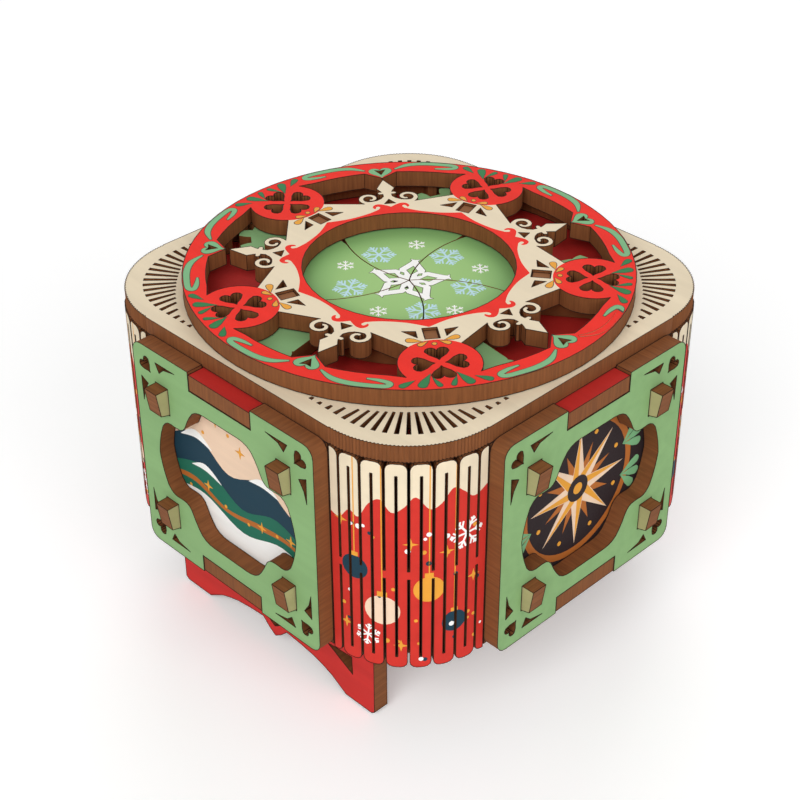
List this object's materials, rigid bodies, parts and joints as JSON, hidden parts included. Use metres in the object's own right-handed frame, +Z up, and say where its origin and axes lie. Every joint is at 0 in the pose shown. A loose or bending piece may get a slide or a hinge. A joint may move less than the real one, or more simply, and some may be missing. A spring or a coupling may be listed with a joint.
{
  "type": "music box",
  "caption": "Square plywood music box on two leg boards, with windowed side panels, slotted round corners, a turning ring that opens an iris lid, and a key underneath.",
  "frame": {"origin": "middle of the box on the plane that its feet stand on", "axes": "+Z up, along the ring's axis; -Y out of the front panel; +X out of the right panel"},
  "size_m": [0.0888, 0.0888, 0.064],
  "materials": {
    "red_print": "satin",
    "cream_print": "satin",
    "green_print": "satin",
    "leaf_print": "satin",
    "picture_print": "satin",
    "wall_print": "satin",
    "bare_ply": "matte",
    "brass": "polished",
    "steel": "brushed",
    "cast_bed": "cast"
  },
  "bodies": {
    "case": {"top_plate": "cream_print", "deck_plate": "red_print", "base_plate": "bare_ply", "front_panel_frame": "green_print", "right_panel_frame": "green_print", "back_panel_frame": "green_print", "left_panel_frame": "green_print", "front_picture_plate": "picture_print", "right_picture_plate": "picture_print", "back_picture_plate": "picture_print", "left_picture_plate": "picture_print", "front_upright_a": "bare_ply", "front_upright_b": "bare_ply", "right_upright_a": "bare_ply", "right_upright_b": "bare_ply", "back_upright_a": "bare_ply", "back_upright_b": "bare_ply", "left_upright_a": "bare_ply", "left_upright_b": "bare_ply", "front_right_corner_wall": "wall_print", "back_right_corner_wall": "wall_print", "back_left_corner_wall": "wall_print", "front_left_corner_wall": "wall_print", "front_leg_board": "red_print", "back_leg_board": "red_print", "movement_bedplate": "cast_bed", "mounting_screw_1": "steel", "mounting_screw_2": "steel", "mounting_screw_3": "steel", "mounting_screw_4": "steel", "left_bearing_bracket": "brass", "right_bearing_bracket": "brass", "governor_bracket": "brass", "steel_comb": "steel", "comb_block": "cast_bed", "comb_screw_1": "steel", "comb_screw_2": "steel"},
    "iris_ring": {"turning_ring": "red_print", "retaining_ring": "bare_ply", "pivot_post_1": "bare_ply", "pivot_post_2": "bare_ply", "pivot_post_3": "bare_ply", "pivot_post_4": "bare_ply", "pivot_post_5": "bare_ply"},
    "leaf_1": {"iris_leaf_1": "leaf_print"},
    "leaf_2": {"iris_leaf_2": "leaf_print"},
    "leaf_3": {"iris_leaf_3": "leaf_print"},
    "leaf_4": {"iris_leaf_4": "leaf_print"},
    "leaf_5": {"iris_leaf_5": "leaf_print"},
    "winding": {"winding_arbor": "steel", "winding_key": "brass"},
    "barrel": {"spring_barrel": "brass", "barrel_crown_gear": "brass", "mainspring": "steel"},
    "cylinder": {"cylinder_shaft": "steel", "pinned_cylinder": "brass", "drive_pinion": "brass", "governor_wheel": "brass"},
    "governor": {"air_governor": "steel"}
  },
  "joints": [
    {"name": "ring_turn", "type": "hinge", "parent": "case", "child": "iris_ring", "pos_m": [0, 0, 0.061], "axis": [0, 0, 1], "range_deg": [0, 18]},
    {"name": "leaf_1_swing", "type": "hinge", "parent": "iris_ring", "child": "leaf_1", "pos_m": [0.01802, 0.01309, 0.0579], "axis": [0, 0, 1], "range_deg": [-48, 0]},
    {"name": "leaf_2_swing", "type": "hinge", "parent": "iris_ring", "child": "leaf_2", "pos_m": [-0.00688, 0.02118, 0.0579], "axis": [0, 0, 1], "range_deg": [-48, 0]},
    {"name": "leaf_3_swing", "type": "hinge", "parent": "iris_ring", "child": "leaf_3", "pos_m": [-0.02227, 0, 0.0579], "axis": [0, 0, 1], "range_deg": [-48, 0]},
    {"name": "leaf_4_swing", "type": "hinge", "parent": "iris_ring", "child": "leaf_4", "pos_m": [-0.00688, -0.02118, 0.0579], "axis": [0, 0, 1], "range_deg": [-48, 0]},
    {"name": "leaf_5_swing", "type": "hinge", "parent": "iris_ring", "child": "leaf_5", "pos_m": [0.01802, -0.01309, 0.0579], "axis": [0, 0, 1], "range_deg": [-48, 0]},
    {"name": "key_turn", "type": "hinge", "parent": "case", "child": "winding", "pos_m": [-0.01, 0, 0.0105], "axis": [0, 0, 1], "continuous": true},
    {"name": "barrel_turn", "type": "hinge", "parent": "case", "child": "barrel", "pos_m": [-0.01, 0, 0.0305], "axis": [0, 0, 1], "continuous": true},
    {"name": "cylinder_turn", "type": "hinge", "parent": "case", "child": "cylinder", "pos_m": [0.01, 0, 0.03552], "axis": [1, 0, 0], "continuous": true},
    {"name": "governor_turn", "type": "hinge", "parent": "case", "child": "governor", "pos_m": [0.02065, 0.0056, 0.04], "axis": [0, 0, 1], "continuous": true}
  ],
  "couplings": [
    {"joint": "leaf_1_swing", "follows": "ring_turn", "ratio": -2.6471},
    {"joint": "leaf_2_swing", "follows": "ring_turn", "ratio": -2.6471},
    {"joint": "leaf_3_swing", "follows": "ring_turn", "ratio": -2.6471},
    {"joint": "leaf_4_swing", "follows": "ring_turn", "ratio": -2.6471},
    {"joint": "leaf_5_swing", "follows": "ring_turn", "ratio": -2.6471},
    {"joint": "cylinder_turn", "follows": "barrel_turn", "ratio": 3},
    {"joint": "governor_turn", "follows": "barrel_turn", "ratio": 72}
  ]
}
